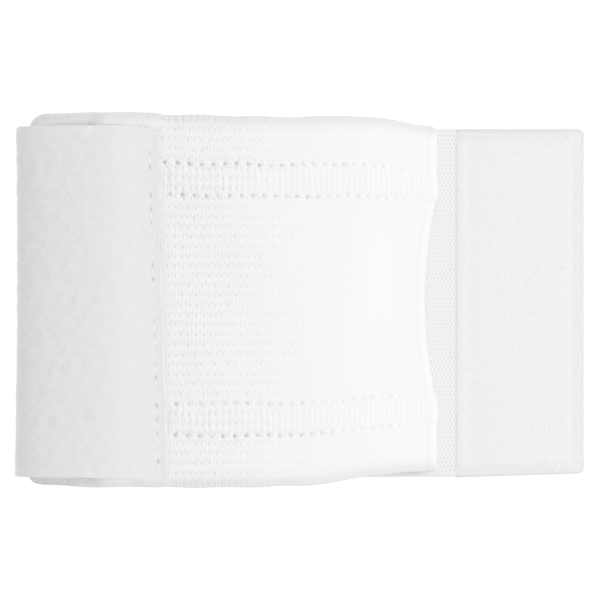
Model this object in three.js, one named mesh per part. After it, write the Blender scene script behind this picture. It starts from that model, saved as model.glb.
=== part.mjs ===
// Wrist support lying flat: a pull-on elastic knit sleeve with a wrap-round strap.
// The strap is sewn to the top of the sleeve, goes round its left fold, runs under it and comes out
// on the right, where it carries the hook tab. Its outer face carries the loop panel on the left.
// Millimetres, +X along the strap towards its free end, +Y along the arm, +Z up, resting on z = 0.
import * as THREE from "three";

// Wall thickness of each layer and the clearance between neighbours
const SLEEVE_WALL = 1.8;
const STRAP_WALL = 0.9;
const LOOP_WALL = 1.1;
const HOOK_WALL = 1.4;
const GAP = 0.3;

// Strap and tab, seen from above
const STRAP_HALF_WIDTH = 34.6;
const STRAP_SHIFT_Y = -0.3;
const STRAP_TIP_X = 56.2;
const HOOK_X = [31.3, 56.4];
const HOOK_HALF_WIDTH = 34.5;
const HOOK_CORNER = 0.9;

// The strap's sewn root on top of the sleeve
const ROOT_X = -27.2;
const ROOT_SEAM_X = -40.2;
const ROOT_SLANT = 1.0;
const LOOP_OVERHANG = 0.4;
const LOOP_UNDER_END_X = -26;

// Side view of the sleeve's mid-wall
const FOLD_X = 24.95;
const FOLD_RADIUS = 1.4;
const FOLD_END = THREE.MathUtils.degToRad(76);
const LEFT_X = -52.9;
const LEFT_Z = 6.6;
const TOP_Z = 12.8;
const SEAM_Z = 11.8;
const FLAT_LEFT_X = -45.8;
const RAMP_X = [-24, -15];

// Handles that shape the side view's curves
const RISE_REACH = 12;
const CREST_REACH_X = -8;
const SHOULDER_START = [-46, 10.6];
const SHOULDER_END_Z = 8.0;
const HEEL_START_Z = 5.0;
const HEEL_END_X = -50.0;

// How far the strap stands off the sleeve at the shoulder, left of the sewn root
const SHOULDER_SLACK = 0.2;

// Inward bows of the two folded edges, seen from above
const RIGHT_BOW = 2.4;
const RIGHT_BOW_HALF_LENGTH = 20.5;
const RIGHT_BOW_X = [8, 22];
const LEFT_BOW = 0.4;
const LEFT_BOW_X = [-38, -50];

// Heights of the layers' mid-walls where they lie under the sleeve
const SLEEVE_TO_STRAP = SLEEVE_WALL / 2 + GAP + STRAP_WALL / 2;
const STRAP_TO_LOOP = STRAP_WALL / 2 + GAP + LOOP_WALL / 2;
const TAIL_Z = STRAP_WALL / 2;
const SLEEVE_LOW_Z = TAIL_Z + SLEEVE_TO_STRAP;
const SLEEVE_OVER_LOOP_Z = LOOP_WALL / 2 + STRAP_TO_LOOP + SLEEVE_TO_STRAP;

// The sleeve's open edges: half width towards +Y and towards -Y at each place along X
const SLEEVE_EDGE = [
  { x: -53.8, upper: 35.1, lower: 35.4 },
  { x: -52.8, upper: 36.0, lower: 36.0 },
  { x: -51.8, upper: 36.7, lower: 36.3 },
  { x: -50.5, upper: 36.8, lower: 36.4 },
  { x: -45.0, upper: 36.8, lower: 36.7 },
  { x: -25.0, upper: 36.7, lower: 36.8 },
  { x: -10.0, upper: 36.2, lower: 36.8 },
  { x: 0.0, upper: 36.1, lower: 36.7 },
  { x: 5.0, upper: 36.3, lower: 35.9 },
  { x: 9.0, upper: 36.6, lower: 35.5 },
  { x: 14.0, upper: 36.2, lower: 34.9 },
  { x: 20.0, upper: 35.3, lower: 34.5 },
  { x: 27.3, upper: 34.2, lower: 34.0 },
];

// How many spans each wall has across its width
const SLEEVE_SPANS = 16;
const STRAP_SPANS = 8;

// White elastic knit, white mesh, brushed loop pile and nylon hook tape
const FINISH = {
  knit_sleeve: { color: 0xf5f5f4, roughness: 0.9, metalness: 0 },
  mesh_strap: { color: 0xedeeef, roughness: 0.8, metalness: 0 },
  loop_panel: { color: 0xe8e8eb, roughness: 0.95, metalness: 0 },
  hook_tab: { color: 0xf0f0f2, roughness: 0.55, metalness: 0 },
};

const point = (x, z) => new THREE.Vector2(x, z);

function line(from, to) {
  return new THREE.LineCurve(from, to);
}

function bend(from, handle, otherHandle, to) {
  return new THREE.CubicBezierCurve(from, handle, otherHandle, to);
}

// Points along a chain of curves, each with its own number of steps
function trace(course) {
  const points = [course[0].curve.getPoint(0)];
  for (const { curve, steps } of course) {
    points.push(...curve.getPoints(steps).slice(1));
  }
  return points;
}

// Outward normals of an anticlockwise line of points in the side view
function normals(points, closed) {
  const last = points.length - 1;
  return points.map((_, i) => {
    const before = points[i > 0 ? i - 1 : closed ? last : 0];
    const after = points[i < last ? i + 1 : closed ? 0 : last];
    const along = after.clone().sub(before).normalize();
    return point(along.y, -along.x);
  });
}

// The line moved outward by a distance that may change from point to point
function offset(points, distance, closed = false) {
  const out = normals(points, closed);
  return points.map((p, i) => p.clone().addScaledVector(out[i], distance(p)));
}

// The sleeve's mid-wall, from the underside round the right fold, over the top and down on the left
function sleeveCourse() {
  const start = point(FLAT_LEFT_X, SLEEVE_OVER_LOOP_Z);
  const rampTop = point(RAMP_X[0], SLEEVE_OVER_LOOP_Z);
  const rampFoot = point(RAMP_X[1], SLEEVE_LOW_Z);
  const rampMiddle = (RAMP_X[0] + RAMP_X[1]) / 2;
  const foldFoot = point(FOLD_X, SLEEVE_LOW_Z);
  const foldCentreZ = SLEEVE_LOW_Z + FOLD_RADIUS;
  const fold = new THREE.EllipseCurve(
    FOLD_X,
    foldCentreZ,
    FOLD_RADIUS,
    FOLD_RADIUS,
    -Math.PI / 2,
    FOLD_END,
    false,
  );
  const foldTop = fold.getPoint(1);
  const rise = fold.getTangent(1).multiplyScalar(RISE_REACH).add(foldTop);
  const crest = point(ROOT_X, TOP_Z);
  const seam = point(ROOT_SEAM_X, SEAM_Z);
  const left = point(LEFT_X, LEFT_Z);
  const ramp = bend(
    rampTop,
    point(rampMiddle, SLEEVE_OVER_LOOP_Z),
    point(rampMiddle, SLEEVE_LOW_Z),
    rampFoot,
  );
  const top = bend(foldTop, rise, point(CREST_REACH_X, TOP_Z), crest);
  const shoulder = bend(seam, point(...SHOULDER_START), point(LEFT_X, SHOULDER_END_Z), left);
  const heel = bend(
    left,
    point(LEFT_X, HEEL_START_Z),
    point(HEEL_END_X, SLEEVE_OVER_LOOP_Z),
    start,
  );
  return {
    under: [
      { curve: line(start, rampTop), steps: 4 },
      { curve: ramp, steps: 6 },
      { curve: line(rampFoot, foldFoot), steps: 9 },
    ],
    over: [
      { curve: fold, steps: 11 },
      { curve: top, steps: 15 },
    ],
    left: [
      { curve: line(crest, seam), steps: 4 },
      { curve: shoulder, steps: 8 },
      { curve: heel, steps: 7 },
    ],
  };
}

// Eased share from 0 at the first place to 1 at the second, in either direction
function eased(x, [from, to]) {
  return THREE.MathUtils.smoothstep((x - from) / (to - from), 0, 1);
}

function leftBow(x, v) {
  return LEFT_BOW * (1 - v * v) * eased(x, LEFT_BOW_X);
}

function sleeveHalfWidth(x, side) {
  const found = SLEEVE_EDGE.findIndex((row) => row.x >= x);
  const next = found > 0 ? found : found + 1;
  const after = found < 0 ? SLEEVE_EDGE.at(-1) : SLEEVE_EDGE[next];
  const before = found < 0 ? after : SLEEVE_EDGE[next - 1];
  const share = THREE.MathUtils.clamp((x - before.x) / (after.x - before.x || 1), 0, 1);
  return THREE.MathUtils.lerp(before[side], after[side], share);
}

// Where a point of the sleeve's side view lies at v, which runs from -1 to 1 across the width
function placeOnSleeve(p, v) {
  const y = v * sleeveHalfWidth(p.x, v > 0 ? "upper" : "lower");
  const bow = RIGHT_BOW * Math.max(0, 1 - (y / RIGHT_BOW_HALF_LENGTH) ** 2);
  const x = p.x + leftBow(p.x, v) - bow * eased(p.x, RIGHT_BOW_X);
  return new THREE.Vector3(x, y, p.y);
}

// The same for the strap and the loop panel, whose sewn end on top runs aslant
function placeOnStrap(p, v) {
  const onTop = p.y > LEFT_Z ? eased(p.x, [ROOT_SEAM_X, ROOT_X]) : 0;
  const x = p.x + leftBow(p.x, v) - ROOT_SLANT * v * onTop;
  return new THREE.Vector3(x, STRAP_SHIFT_Y + v * STRAP_HALF_WIDTH, p.y);
}

// A cloth wall: a mid-wall line with thickness, swept across the width, closed in a ring or open
function wall(points, thickness, spans, place, closed) {
  const outer = offset(points, () => thickness / 2, closed);
  const inner = offset(points, () => -thickness / 2, closed);
  const count = points.length;
  const positions = [];
  for (let row = 0; row <= spans; row += 1) {
    const v = (2 * row) / spans - 1;
    for (const face of [outer, inner]) {
      for (const p of face) positions.push(...place(p, v).toArray());
    }
  }
  const at = (row, face, i) => (row * 2 + face) * count + (i % count);
  const faces = [];
  const quad = (a, b, c, d) => faces.push(a, c, b, a, d, c);
  const steps = closed ? count : count - 1;
  for (let i = 0; i < steps; i += 1) {
    for (let row = 0; row < spans; row += 1) {
      quad(at(row, 0, i), at(row, 0, i + 1), at(row + 1, 0, i + 1), at(row + 1, 0, i));
      quad(at(row, 1, i), at(row + 1, 1, i), at(row + 1, 1, i + 1), at(row, 1, i + 1));
    }
    quad(at(0, 0, i), at(0, 1, i), at(0, 1, i + 1), at(0, 0, i + 1));
    quad(at(spans, 0, i), at(spans, 0, i + 1), at(spans, 1, i + 1), at(spans, 1, i));
  }
  if (!closed) {
    const end = count - 1;
    for (let row = 0; row < spans; row += 1) {
      quad(at(row, 0, 0), at(row + 1, 0, 0), at(row + 1, 1, 0), at(row, 1, 0));
      quad(at(row, 0, end), at(row, 1, end), at(row + 1, 1, end), at(row + 1, 0, end));
    }
  }
  const geometry = new THREE.BufferGeometry();
  geometry.setAttribute("position", new THREE.Float32BufferAttribute(positions, 3));
  geometry.setIndex(faces);
  geometry.computeVertexNormals();
  return geometry;
}

function sleeve(course) {
  const ring = trace([...course.under, ...course.over, ...course.left]);
  ring.pop();
  return wall(ring, SLEEVE_WALL, SLEEVE_SPANS, placeOnSleeve, true);
}

// The strap's mid-wall, from its sewn root over the left fold and under the sleeve to its tip
function strapLine(course) {
  const wrapped = trace([...course.left, ...course.under]);
  const slack = (p) => {
    const share = THREE.MathUtils.clamp((p.x - LEFT_X) / (ROOT_SEAM_X - LEFT_X), 0, 1);
    const onShoulder = p.y > LEFT_Z ? 1 : 0;
    return onShoulder * SHOULDER_SLACK * Math.sin(Math.PI * share) ** 2;
  };
  const line = offset(wrapped, (p) => SLEEVE_TO_STRAP + slack(p));
  line.push(point(HOOK_X[0], TAIL_Z));
  line.push(point((HOOK_X[0] + STRAP_TIP_X) / 2, TAIL_Z));
  line.push(point(STRAP_TIP_X, TAIL_Z));
  return line;
}

// The loop panel covers the strap's outer face from the root to a line under the sleeve
function loopLine(strap) {
  const covered = strap.filter((p) => p.y > LEFT_Z || p.x < LOOP_UNDER_END_X);
  const start = covered[0].clone();
  start.x += LOOP_OVERHANG;
  covered[0] = start;
  return offset(covered, () => STRAP_TO_LOOP);
}

function hookTab() {
  const [x0, x1] = HOOK_X;
  const y0 = STRAP_SHIFT_Y - HOOK_HALF_WIDTH;
  const y1 = STRAP_SHIFT_Y + HOOK_HALF_WIDTH;
  const outline = new THREE.Shape();
  outline.moveTo(x0, y0);
  outline.lineTo(x1 - HOOK_CORNER, y0);
  outline.absarc(x1 - HOOK_CORNER, y0 + HOOK_CORNER, HOOK_CORNER, -Math.PI / 2, 0, false);
  outline.absarc(x1 - HOOK_CORNER, y1 - HOOK_CORNER, HOOK_CORNER, 0, Math.PI / 2, false);
  outline.lineTo(x0, y1);
  outline.closePath();
  return new THREE.ExtrudeGeometry(outline, {
    depth: HOOK_WALL,
    bevelEnabled: false,
    curveSegments: 4,
  });
}

function piece(name, geometry) {
  const mesh = new THREE.Mesh(geometry, new THREE.MeshStandardMaterial(FINISH[name]));
  mesh.name = name;
  return mesh;
}

function wristSupport() {
  const course = sleeveCourse();
  const strap = strapLine(course);
  const loop = loopLine(strap);
  const tab = piece("hook_tab", hookTab());
  tab.position.z = STRAP_WALL + GAP;
  const group = new THREE.Group();
  group.add(
    piece("knit_sleeve", sleeve(course)),
    piece("mesh_strap", wall(strap, STRAP_WALL, STRAP_SPANS, placeOnStrap, false)),
    piece("loop_panel", wall(loop, LOOP_WALL, STRAP_SPANS, placeOnStrap, false)),
    tab,
  );
  return group;
}

export default wristSupport();
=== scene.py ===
import math
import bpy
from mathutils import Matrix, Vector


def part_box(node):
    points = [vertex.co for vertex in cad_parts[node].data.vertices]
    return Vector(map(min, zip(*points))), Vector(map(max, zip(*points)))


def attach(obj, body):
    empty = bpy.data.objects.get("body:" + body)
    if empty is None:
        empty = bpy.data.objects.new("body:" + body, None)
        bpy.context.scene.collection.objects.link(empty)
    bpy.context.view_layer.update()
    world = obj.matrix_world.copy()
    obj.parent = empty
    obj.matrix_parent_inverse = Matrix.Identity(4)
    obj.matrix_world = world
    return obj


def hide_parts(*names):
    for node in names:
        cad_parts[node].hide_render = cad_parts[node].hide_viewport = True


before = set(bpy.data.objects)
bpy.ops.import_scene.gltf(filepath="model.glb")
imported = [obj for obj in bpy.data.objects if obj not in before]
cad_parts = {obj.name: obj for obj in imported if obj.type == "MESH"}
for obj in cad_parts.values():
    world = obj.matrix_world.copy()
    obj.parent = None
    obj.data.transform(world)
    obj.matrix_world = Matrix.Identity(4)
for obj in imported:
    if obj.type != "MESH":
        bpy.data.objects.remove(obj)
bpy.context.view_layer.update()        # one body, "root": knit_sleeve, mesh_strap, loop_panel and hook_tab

from types import SimpleNamespace

import bpy
import numpy as np

# A white elastic wrist support lying flat, seen from straight above. A knit sleeve has four sewn rows over
# its top. A mesh strap is sewn to the top's left part, goes round the left fold and comes out under the
# right one. The strap's outer face carries a soft loop panel, and its free end a tab of hook tape.
# Sizes are in millimetres until a mesh is made. Along is measured on the cloth, across is +Y.

MM = 0.001
SEED = 11


def box_mm(node):
    """A CAD node's lowest and highest corners in millimetres."""
    low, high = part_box(node)
    return np.array(low) / MM, np.array(high) / MM


SLEEVE_LOW, SLEEVE_HIGH = box_mm("knit_sleeve")
STRAP_LOW, STRAP_HIGH = box_mm("mesh_strap")
TAB_LOW, TAB_HIGH = box_mm("hook_tab")

# Wall thickness of each layer, and the clearance between neighbours
SLEEVE_WALL = 1.8
STRAP_WALL = 0.9
PANEL_WALL = 1.1
GAP = 0.3
SLEEVE_TO_STRAP = SLEEVE_WALL / 2 + GAP + STRAP_WALL / 2
STRAP_TO_PANEL = STRAP_WALL / 2 + GAP + PANEL_WALL / 2

# Mesh steps round a wall's rim, and at each rounded end of an open wall
RIM_STEPS = 8
END_STEPS = 5

# The strap from above: width, tip, sewn end on top and its slant, the seam where it leaves the sleeve, the
# sewn length between them and how far past it the sewing shows. The loop panel goes a hair past the sewn
# end, and its other end lies below
STRAP_HALF = (STRAP_HIGH[1] - STRAP_LOW[1]) / 2
STRAP_MIDDLE_Y = (STRAP_HIGH[1] + STRAP_LOW[1]) / 2
STRAP_TIP_X = STRAP_HIGH[0]
ROOT_X = -27.2
ROOT_SLANT = 1.0
ROOT_SEAM_X = -40.2
SEWN_LENGTH = ROOT_X - ROOT_SEAM_X
SEWN_FADE = 2.0
PANEL_OVERHANG = 0.05
PANEL_UNDER_END_X = -26.0

# The sewing on top presses the strap and the panel thin: the share of their thickness left at their end and
# past it, how far the end reaches, and where along the strap they are full again
PRESSED_END = 0.14
PRESSED_TOP = 0.35
PRESSED_END_REACH = 10.0
PRESSED_UNTIL = (4.0, 30.0)

# Side view of the sleeve's mid-wall
FOLD_RADIUS = 1.4
FOLD_END = math.radians(76)
FOLD_X = SLEEVE_HIGH[0] - SLEEVE_WALL / 2 - FOLD_RADIUS
LEFT_X = SLEEVE_LOW[0] + SLEEVE_WALL / 2
LEFT_Z = 6.6
TOP_Z = SLEEVE_HIGH[2] - SLEEVE_WALL / 2
SEAM_Z = 11.8
FLAT_LEFT_X = -45.8
RAMP_X = (-24.0, -15.0)
TAIL_Z = STRAP_WALL / 2
LOW_Z = TAIL_Z + SLEEVE_TO_STRAP
OVER_PANEL_Z = PANEL_WALL / 2 + STRAP_TO_PANEL + SLEEVE_TO_STRAP

# Handles that shape the side view's curves
RISE_REACH = 12.0
CREST_REACH_X = -8.0
CREST_START = (-31.5, 12.6)
SEAM_END = (-35.9, 12.79)
SHOULDER_START = (-46.0, 10.46)
SHOULDER_END_Z = 8.0
HEEL_START_Z = 5.0
HEEL_END_X = -50.0

# The strap's free end lies askew: how far its upper edge slips, and its lower edge at two places along it
TAIL_FROM_X = (0.0, 12.0)
TAIL_SLIP = -0.17
TAIL_X = (28.0, 56.0)
TAIL_LOW_SLIP = (-0.48, 0.39)

# Inward bows of the two folded edges, seen from above
RIGHT_BOW = 2.4
RIGHT_BOW_HALF_LENGTH = 20.5
RIGHT_BOW_X = (8.0, 22.0)
LEFT_BOW = 0.35
LEFT_BOW_SHARE = 0.2
LEFT_BOW_X = (-38.0, -50.0)

# The sleeve's open edges: x, half width towards +Y, half width towards -Y. The table's corners are eased
# over a short reach. The sleeve's length is measured along the arm
SLEEVE_EDGE = np.array([
    (-53.8, 35.1, 35.4),
    (-52.8, 36.0, 36.0),
    (-51.8, 36.7, 36.3),
    (-50.5, 36.9, 36.53),
    (-45.0, 36.7, 36.65),
    (-35.0, 37.05, 36.8),
    (-26.0, 36.5, 36.8),
    (-21.0, 36.2, 36.8),
    (-10.0, 36.15, 36.75),
    (0.0, 36.0, 36.75),
    (5.0, 36.15, 36.0),
    (9.0, 36.45, 35.6),
    (14.0, 36.07, 34.8),
    (20.0, 35.45, 34.25),
    (27.3, 34.2, 34.05),
])
EDGE_EASE = np.linspace(-0.9, 0.9, 7)

# The knit: a stitch is a wale wide, wider at the sewn root than at the slack right fold, and a course high.
# Its mesh has steps across a course, and along a wale more where the sleeve shows than under the strap
ROOT_WALE = 1.34
FOLD_WALE = 0.95
COURSES = 37
COURSE_STEPS = 4
SHOWN_WALE_STEPS = 8
HIDDEN_WALE_STEPS = 2
OUTER_STEPS = COURSES * COURSE_STEPS
INNER_STEPS = 12
FLAT_HALF = SLEEVE_HIGH[1] - SLEEVE_WALL / 2
ROW_STEP = 2 * FLAT_HALF / OUTER_STEPS

# The knit's relief: legs, a hollow in each stitch and a weaker one half a wale on. A wide wave lies over the
# slack top, and the knit rises a little past the strap's sewn end. A fade, here and below, is the share lost
# and the two x between which it is lost
LEG_HEIGHT = 0.028
PIT_DEPTH = 0.10
SIDE_PIT = 0.55
PIT_ROW = 2
WALE_WANDER = 0.2
KNIT_FADE = (0.86, -26.0, 10.0)
TOP_FROM_FOLD = (-1.0, 1.0)
TOP_TO_ROOT = (0.3, 3.0)
SLACK_HEIGHT = 0.07
SLACK_X = ((-24.0, -14.0), (22.0, 14.0))
ROOT_PUFF = 0.05
ROOT_PUFF_REACH = ((0.1, 1.1), (4.2, 1.4))
ROOT_PRESS_HALF = 0.9

# The two plump bands between pairs of sewn rows, and the ribs on them, lower where the knit is slack
BAND_PUFF = 0.22
RIB_HEIGHT = 0.06
RIB_WANDER = 0.05
SLACK_RIB = 0.35

# The sleeve's open margins: droop, deeper where the strap leaves them loose (low side, high side), a slit
# beside the loose strap, a puff beside the sewn one, the mesh rows of the strap's edges (low, high side),
# and a small wave along the edges
EDGE_DROOP = 0.45
EDGE_DROOP_WIDTH = 2.6
LOOSE_DROOP = (1.2, 0.3)
LOOSE_X = (ROOT_SEAM_X + 3, ROOT_SEAM_X - 8)
LOOSE_SLIT = 0.4
SLIT_HALF_ROWS = 1.2
SLIT_X = ((-52.0, -46.0), (ROOT_SEAM_X, ROOT_SEAM_X - 1.2))
MARGIN_PUFF = 0.65
MARGIN_PUFF_X = ((ROOT_SEAM_X - 1, ROOT_SEAM_X + 2), (ROOT_X + 3, ROOT_X - 4))
PAD_EDGE_ROWS = (71, 70)
EDGE_WAVE = 0.11

# Painted shade that greys the knit: along its margins, less so beside the strap, and over its right fold
EDGE_GREY = 0.5
COVERED_GREY_FADE = (0.6, ROOT_X, ROOT_SEAM_X)
FOLD_GREY = 0.5
FOLD_GREY_REACH = (4.7, 3.0)
FOLD_GREY_BACK = 4.0

# The sewn rows over the sleeve's top: mesh row counted from the middle, wales from the root to the first
# stitch, and the depth and half length of the needle holes
SEWN_ROWS = (
    (56, 0.45, 0.9, 0.38),
    (43, 1.2, 0.85, 0.31),
    (-42, 0.3, 0.5, 0.29),
    (-55, 0.15, 0.8, 0.38),
)
SEWN_BANDS = ((56, 43), (-55, -42))
SEWN_WALES = 1.8
SEWN_GROOVE = 0.18
SEWN_GROOVE_HALF = 0.55
GROOVE_FADE = (0.5, -5.0, 20.0)

# Needle holes, and the pull of the thread on the knit beside each (along, across the row). The thread is
# seated in the knit, and it and the holes go under towards the right fold
NEEDLE_DEPTH = 0.50
NEEDLE_HALF = 0.24
NEEDLE_SPREAD = (0.4, 0.95)
NEEDLE_FADE = (0.65, -20.0, 10.0)
PULL_REACH = (0.4, 0.6)
PULL_HALF = (0.3, 0.4)
PULL_SHARE = 0.25
FOLD_SINK = 0.16
FOLD_SINK_X = (16.0, 23.0)
FOLD_NEEDLE_FADE = (0.7, *FOLD_SINK_X)
SLEEVE_THREAD_SEAT = 0.1

# The mesh: one cell of its diamond lattice, with two mesh steps each way
MESH_CELL = (0.78, 1.67)
MESH_PIT = 0.115

# The loop panel's cloth: mesh step, rounded end, sides flattened where they are sewn, nap that starts inside
# the edge, painted shade on its cut end, and mottle as height and wavelength
PANEL_STEP = 0.55
PANEL_END_RADIUS = 0.12
PANEL_SIDE_FLAT = 0.65
PANEL_SIDE = (2.4, 0.6)
PANEL_NAP_EDGE = (0.4, 1.4)
PANEL_END_SHADE = 0.1
PANEL_END_SHADE_REACH = (0.5, PANEL_END_RADIUS)
MOTTLE = ((0.05, 3.4), (0.03, 1.7))

# Its seams: distance from the ends and sides, depth and half width of the groove, the crease where the strap
# leaves the sleeve, and the needle holes of the end that shows (half width along, across)
PANEL_SEAM_INSET = 1.5
PANEL_ROW_INSET = 1.85
PANEL_PITCH = 2.75
PANEL_SEAM_DEPTH = 0.10
PANEL_SEAM_HALF = 0.6
PANEL_SIDE_SEAM_HALF = 0.55
PANEL_CREASE = 0.35
PANEL_CREASE_HALF = 1.0
PANEL_SEAM_STEPS = PANEL_SEAM_INSET + np.linspace(-0.42, 0.42, 7)
PANEL_NEEDLE_DEPTH = 0.06
PANEL_NEEDLE_HALF = (0.17, 0.4)
PANEL_NEEDLE_SPREAD = (0.2, 1.0)
PANEL_NEEDLE_POWER = 2.5
PANEL_THREAD_SEAT = 0.12

# Its pile: room where it faces the floor, share of its height where it is pressed, where along the panel it
# stands up, loops on each square millimetre, and mesh rows left bare. The yarn is about twice as thick as
# real fibres, so that it shows
PILE_ROOM = 0.18
PILE_ROOM_FACING = (0.3, 0.9)
PRESSED_NAP = 0.42
NAPPED = (4.0, 18.0)
PILE_DENSITY = 1.6
PILE_BARE_ROWS = 2
LOOP_RADIUS = 0.125
LOOP_YARN_RADIUS = 0.026
LOOP_LEAN = 1.3

# The hook tape: sunk into the strap, a little past the CAD tab (right, ends; left), with its left edge
# pressed down in a wedge, rounded right corners, darker edges and greyer margins
TAPE_WALL = 0.45
TAPE_LOW_Z = STRAP_WALL - 0.34
TAPE_TOP_Z = TAPE_LOW_Z + TAPE_WALL
TAPE_SPARE = (0.3, 0.12)
TAPE_LEFT_SPARE = 0.2
TAPE_WEDGE = (-0.4, 1.6)
TAB_HALF = (TAB_HIGH[1] - TAB_LOW[1]) / 2
TAB_MIDDLE_X = (TAB_HIGH[0] + TAB_LOW[0]) / 2
TAB_MIDDLE_Y = (TAB_HIGH[1] + TAB_LOW[1]) / 2
TAB_CORNER = 0.9
TAB_STEP = 0.6
TAB_CUT_HALF = 0.35
TAB_MARGIN = (2.8, 1.8)
TAB_MARGIN_GREY = 0.22
SELVAGE_WIDTH = 2.7
SELVAGE_EASE = 0.4

# Its sewn rows: distance from the right edge and from the ends, pitch, and the groove that they pull
TAB_ROW_X = 2.3
TAB_ROW_INSET = 1.8
TAB_PITCH = 2.75
TAB_GROOVE = 0.03
TAB_GROOVE_HALF = 0.5
TAB_THREAD_SEAT = 0.06

# Its hooks: side view of one at full size, spacing, and the bare strips at the ends and beside the selvages
HOOK_PATH = np.array([(0, -0.1), (0, 0.11), (0.04, 0.20), (0.13, 0.25), (0.23, 0.22), (0.27, 0.13)])
HOOK_RADIUS = 0.05
HOOK_COLUMN_PITCH = 0.56
HOOK_ROW_PITCH = 0.5
HOOK_SWAY = 0.9
HOOK_END_BARE = 0.7
HOOK_SIDE_BARE = 0.6


# Small tools for curves and cloth walls

def eased(x, start, end):
    """Smooth share from 0 at start to 1 at end."""
    t = np.clip((x - start) / (end - start), 0, 1)
    return t * t * (3 - 2 * t)


def between(x, rise, fall):
    """Smooth share that comes in over one span and goes out over another."""
    return eased(x, *rise) * eased(x, *fall)


def fading(x, share, start, end):
    """Smooth factor that falls from 1 by a share over a span."""
    return 1 - share * eased(x, start, end)


def gauss(distance, half):
    """Smooth share of 1 at no distance, small past the half width."""
    return np.exp(-(distance / half) ** 2)


def stacked(*parts):
    """Numbers and arrays put together as vectors."""
    return np.stack(np.broadcast_arrays(*parts), axis=-1)


def bend(start, handle, other_handle, end, steps=240):
    """Points on a cubic curve in the side view."""
    t = np.linspace(0, 1, steps + 1)[:, None]
    a, b, c, d = (np.array(p, float) for p in (start, handle, other_handle, end))
    return (1 - t) ** 3 * a + 3 * (1 - t) ** 2 * t * b + 3 * (1 - t) * t ** 2 * c + t ** 3 * d


def line(start, end, steps=120):
    """Points on a straight line in the side view."""
    t = np.linspace(0, 1, steps + 1)[:, None]
    return (1 - t) * np.array(start, float) + t * np.array(end, float)


def joined(*pieces):
    """Stretches of points joined end to end."""
    return np.vstack([pieces[0]] + [p[1:] for p in pieces[1:]])


class Course:
    """A line of points in the side view, measured along its length, with its outward normals.

    Thin is the share of the wall's thickness left at each point.
    """

    def __init__(self, points, ring=False, thin=1.0):
        self.points = points
        self.thin = np.broadcast_to(thin, len(points))
        steps = np.linalg.norm(np.diff(points, axis=0), axis=1)
        self.marks = np.concatenate([[0], np.cumsum(steps)])
        self.length = self.marks[-1]
        tangent = np.gradient(points, self.marks, axis=0)
        if ring:
            tangent[0] = tangent[-1] = tangent[0] + tangent[-1]
        tangent /= np.linalg.norm(tangent, axis=1)[:, None]
        self.normals = stacked(tangent[:, 1], -tangent[:, 0])

    def at(self, along):
        """Points and normals at distances along the line."""
        point = [np.interp(along, self.marks, self.points[:, k]) for k in (0, 1)]
        normal = np.array([np.interp(along, self.marks, self.normals[:, k]) for k in (0, 1)])
        return point, normal / np.linalg.norm(normal, axis=0)

    def thin_at(self, along):
        """Share of the wall's thickness left at distances along the line."""
        return np.interp(along, self.marks, self.thin)

    def moved(self, distance):
        """The line moved outward by a distance, which may change from point to point."""
        return self.points + self.normals * np.reshape(distance, (-1, 1))


def sleeve_stretches():
    """The sleeve's mid-wall from the sewn root: down the left, under, and back over the top."""
    start = (FLAT_LEFT_X, OVER_PANEL_Z)
    crest = (ROOT_X, TOP_Z)
    seam = (ROOT_SEAM_X, SEAM_Z)
    left = (LEFT_X, LEFT_Z)
    left_side = joined(
        bend(crest, CREST_START, SEAM_END, seam),
        bend(seam, SHOULDER_START, (LEFT_X, SHOULDER_END_Z), left),
        bend(left, (LEFT_X, HEEL_START_Z), (HEEL_END_X, OVER_PANEL_Z), start),
    )
    ramp_middle = sum(RAMP_X) / 2
    ramp_top = (RAMP_X[0], OVER_PANEL_Z)
    ramp_foot = (RAMP_X[1], LOW_Z)
    under = joined(
        line(start, ramp_top),
        bend(ramp_top, (ramp_middle, OVER_PANEL_Z), (ramp_middle, LOW_Z), ramp_foot),
        line(ramp_foot, (FOLD_X, LOW_Z)),
    )
    turn = np.linspace(-math.pi / 2, FOLD_END, num=160)
    fold = np.array([FOLD_X, LOW_Z + FOLD_RADIUS]) + FOLD_RADIUS * stacked(np.cos(turn), np.sin(turn))
    rise = fold[-1] + RISE_REACH * np.array([-math.sin(FOLD_END), math.cos(FOLD_END)])
    over = joined(fold, bend(fold[-1], rise, (CREST_REACH_X, TOP_Z), crest))
    return left_side, under, over


LEFT_SIDE, UNDER, OVER = sleeve_stretches()
WRAPPED = Course(joined(LEFT_SIDE, UNDER))
RING = Course(joined(LEFT_SIDE, UNDER, OVER), ring=True)
FOLD_ALONG = WRAPPED.length
TOP_LENGTH = RING.length - FOLD_ALONG
TOP_WALES = round(2 * TOP_LENGTH / (ROOT_WALE + FOLD_WALE))


def pressed(along):
    """Share of the layers' thickness that the sewing leaves at distances from the strap's root."""
    end = PRESSED_END + (PRESSED_TOP - PRESSED_END) * eased(along, 0, PRESSED_END_REACH)
    return end + (1 - PRESSED_TOP) * eased(along, *PRESSED_UNTIL)


def strap_course():
    """The strap's mid-wall from its sewn root round the sleeve to its tip."""
    thin = pressed(WRAPPED.marks)
    wrapped = WRAPPED.moved(SLEEVE_WALL / 2 + thin * (GAP + STRAP_WALL / 2))
    points = joined(wrapped, line(wrapped[-1], (STRAP_TIP_X, TAIL_Z)))
    return Course(points, thin=np.pad(thin, (0, len(points) - len(thin)), constant_values=1.0))


def panel_course(strap):
    """The loop panel's mid-wall on the strap's outer face."""
    x, z = strap.points.T
    kept = (z > LEFT_Z) | (x < PANEL_UNDER_END_X)
    covered = strap.moved(STRAP_TO_PANEL * strap.thin)[kept]
    overhang = covered[:1] + np.array([[PANEL_OVERHANG, 0.0]])
    return Course(np.vstack([overhang, covered]), thin=np.append(strap.thin[0], strap.thin[kept]))


STRAP = strap_course()
PANEL = panel_course(STRAP)


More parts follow.
